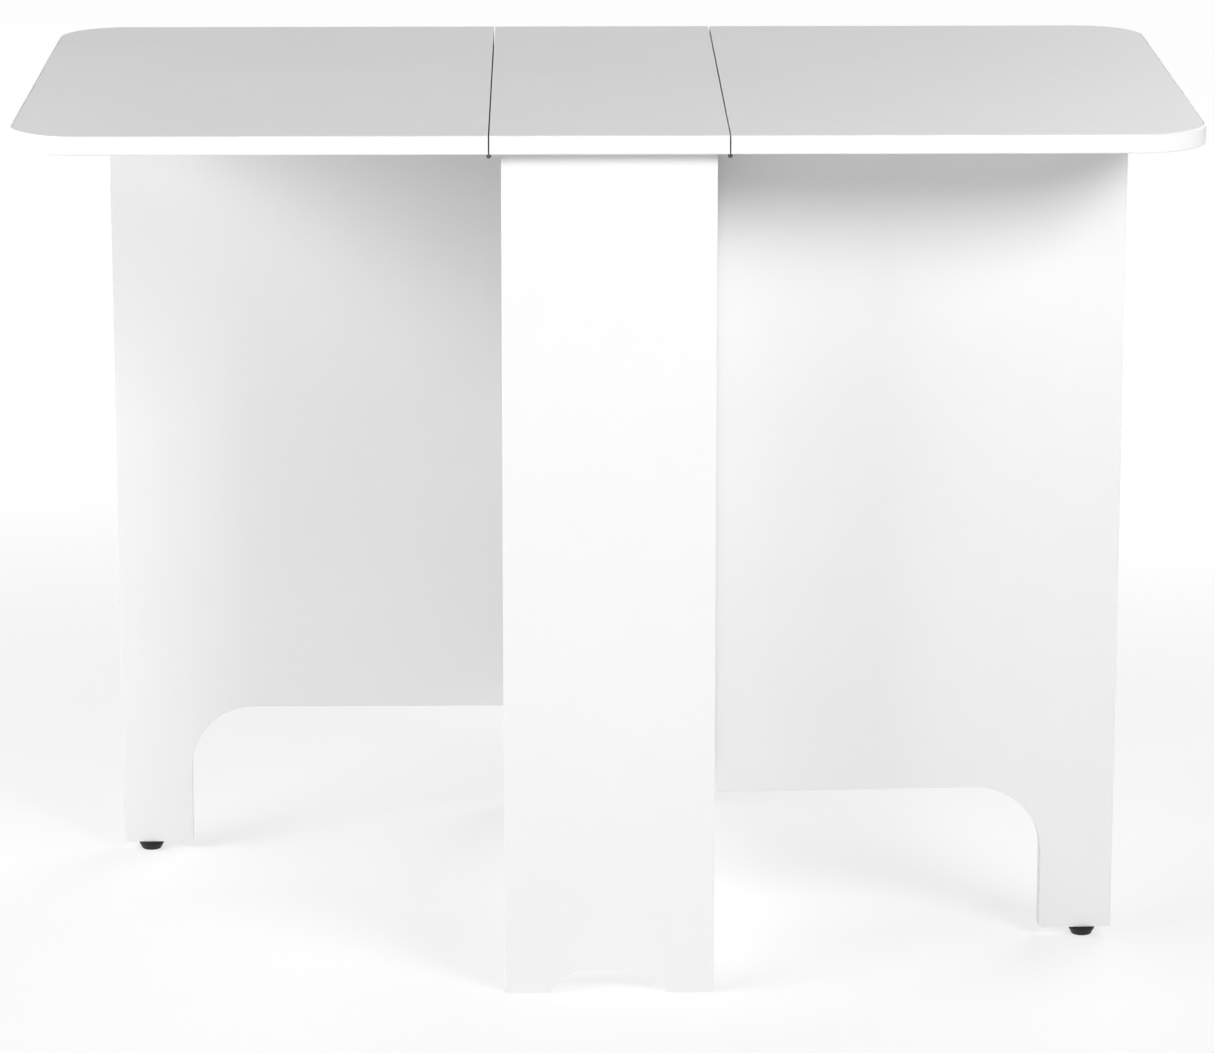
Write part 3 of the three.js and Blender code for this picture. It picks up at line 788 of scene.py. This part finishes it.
def make_cams():
    """Each cam has a cross-recessed face with a soft rim, and a hooked wall that grips the bolt's head."""
    for node in sorted(n for n in frame["nodes"] if n.startswith("cam_")):
        face, out, to_panel = cam_frame(node)
        low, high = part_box(node)
        depth = abs((high - low).dot(out))
        across = out.cross(to_panel)
        profile = [(CAM_RADIUS - CAM_RELIEF, -CAM_FACE), (CAM_RADIUS, -CAM_FACE + CAM_RELIEF)]
        profile += [(CAM_RADIUS - inset * MM, -level * MM) for inset, level in CAM_RIM]
        builder = bmesh.new()
        cross_head(builder, face, out, profile, CAM_CROSS_ARM, CAM_CROSS_HALF_WIDTH, CAM_CROSS_DEPTH)
        wall = arc((0, 0), CAM_RADIUS - CAM_RELIEF, CAM_OPENING, math.tau - CAM_OPENING, CAM_STEPS)
        wall += arc((0, 0), CAM_RADIUS - CAM_WALL, math.tau - CAM_OPENING, CAM_OPENING, CAM_STEPS)
        rings = []
        for level in (-CAM_FACE, -depth):
            rings.append([face + to_panel * u + across * v + out * level for u, v in wall])
        stack(builder, rings)
        cam = closed(builder, node.replace("cam_", "cam_lock_"), [ZINC])
        replace_with(soften(cam, CAM_EDGE, 1), node)


def make_bracket_screws():
    for end in ("front", "back"):
        for hand in SIDES:
            node = f"bracket_{end}_{hand}"
            low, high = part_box(node)
            inward = Vector((0, 1 if end == "front" else -1, 0))
            corner = Vector(((low.x + high.x) / 2, low.y if end == "front" else high.y, high.z))
            under = corner + inward * BRACKET_HOLE_REACH - UP * BRACKET_THICKNESS
            inside = corner + inward * BRACKET_THICKNESS - UP * BRACKET_HOLE_REACH
            for place, spot, out in (("top", under, -UP), ("panel", inside, inward)):
                name = f"bracket_screw_{end}_{hand}_{place}"
                screws(name, [spot], out, BRACKET_SCREW, "frame", PAN_HEAD)


def make_feet():
    """Black nail-on glides: a soft rim at the floor, a taper, a flange against the gate, and the nail."""
    side, up = Vector((1, 0, 0)), Vector((0, 1, 0))
    for hand in SIDES:
        node = f"{hand}_gate_foot"
        low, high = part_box(node)
        centre = Vector(((low.x + high.x) / 2, (low.y + high.y) / 2, 0))
        builder = bmesh.new()
        rings = [circle(centre + UP * h * MM, side, up, r * MM, FOOT_SIDES) for r, h in FOOT_PROFILE]
        stack(builder, rings)
        replace_with(closed(builder, f"{hand}_glide", [BLACK_PLASTIC]), node)


def make_pads():
    """Long pads under the leaves, with round ends and a soft rim."""
    for hand in SIDES:
        node = f"{hand}_leaf_pad"
        low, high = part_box(node)
        centre = (low + high) / 2
        radius = (high.x - low.x) / 2
        end = (high.y - low.y) / 2 - radius
        levels = [(0, high.z)] + [(inset * MM, low.z + height * MM) for inset, height in PAD_RIM]
        rings = []
        for inset, level in levels:
            outline = arc((centre.x, centre.y + end), radius - inset, 0, math.pi, PAD_STEPS)
            outline += arc((centre.x, centre.y - end), radius - inset, math.pi, math.tau, PAD_STEPS)
            rings.append([Vector((u, v, level)) for u, v in outline])
        builder = bmesh.new()
        stack(builder, rings)
        replace_with(closed(builder, f"{hand}_pad", [PAD_PLASTIC]), node)


def finish_cad_nodes():
    """Boards and fittings whose CAD shape is right: their edges are rounded and they get their materials."""
    for name, node in frame["nodes"].items():
        if node.hide_render:
            continue
        material, width = LAMINATE, LAMINATE_EDGE
        if name.startswith("bolt_"):
            material, width = PIN_STEEL, BOLT_EDGE
        elif name.startswith("bracket_"):
            material, width = BRACKET_STEEL, BRACKET_EDGE
        node.data.materials.clear()
        node.data.materials.append(material)
        weld = node.modifiers.new("weld", "WELD")
        weld.merge_threshold = WELD_REACH
        flat_faces = node.modifiers.new("flat", "DECIMATE")
        flat_faces.decimate_type = "DISSOLVE"
        flat_faces.angle_limit = FLAT_ANGLE
        soften(node, width)


# ---------- floor, light and camera ----------

def make_floor():
    builder = bmesh.new()
    bmesh.ops.create_circle(builder, cap_ends=True, segments=96, radius=FLOOR_RADIUS)
    floor = object_from(builder, "floor", [floor_paint()])


def make_world():
    """White round the horizon and dimmer above, like a white room with a high ceiling."""
    world = bpy.data.worlds.new("studio")
    bpy.context.scene.world = world
    world.use_nodes = True
    tree = world.node_tree
    background = tree.nodes["Background"]
    coordinates = tree.nodes.new("ShaderNodeTexCoord")
    height = tree.nodes.new("ShaderNodeSeparateXYZ")
    ramp = tree.nodes.new("ShaderNodeValToRGB")
    while len(ramp.color_ramp.elements) < len(SKY):
        ramp.color_ramp.elements.new(0.5)
    for element, (position, brightness) in zip(ramp.color_ramp.elements, SKY):
        element.position = position
        element.color = (brightness, brightness, brightness, 1)
    tree.links.new(coordinates.outputs["Generated"], height.inputs["Vector"])
    tree.links.new(height.outputs["Z"], ramp.inputs["Fac"])
    tree.links.new(ramp.outputs["Color"], background.inputs["Color"])
    background.inputs["Strength"].default_value = 1.0


def make_lights():
    for name, azimuth, elevation, width, height, spread, aim, power in LAMPS:
        light = bpy.data.lights.new(name, "AREA")
        light.shape = "RECTANGLE"
        light.size = width
        light.size_y = height
        light.spread = math.radians(spread)
        light.energy = power
        azimuth, elevation = math.radians(azimuth), math.radians(elevation)
        away = Vector((math.sin(azimuth), -math.cos(azimuth), math.tan(elevation))).normalized()
        lamp = bpy.data.objects.new(name, light)
        lamp.location = UP * aim + away * LAMP_DISTANCE
        lamp.rotation_mode = "QUATERNION"
        lamp.rotation_quaternion = away.to_track_quat("Z", "Y")
        lamp.visible_glossy = name not in MATT_LAMPS
        bpy.context.scene.collection.objects.link(lamp)


def make_camera():
    camera = bpy.data.cameras.new("camera")
    camera.lens = CAMERA_LENS
    camera.clip_end = 200
    seat = bpy.data.objects.new("camera", camera)
    seat.location = CAMERA_PLACE
    seat.rotation_mode = "QUATERNION"
    seat.rotation_quaternion = (CAMERA_AIM - CAMERA_PLACE).to_track_quat("-Z", "Y")
    bpy.context.scene.collection.objects.link(seat)
    bpy.context.scene.camera = seat


make_top()
make_end_panels()
make_gates()
make_hinges()
make_cams()
make_bracket_screws()
make_feet()
make_pads()
finish_cad_nodes()
make_floor()
make_world()
make_lights()
make_camera()
bpy.context.scene.view_settings.view_transform = "Standard"
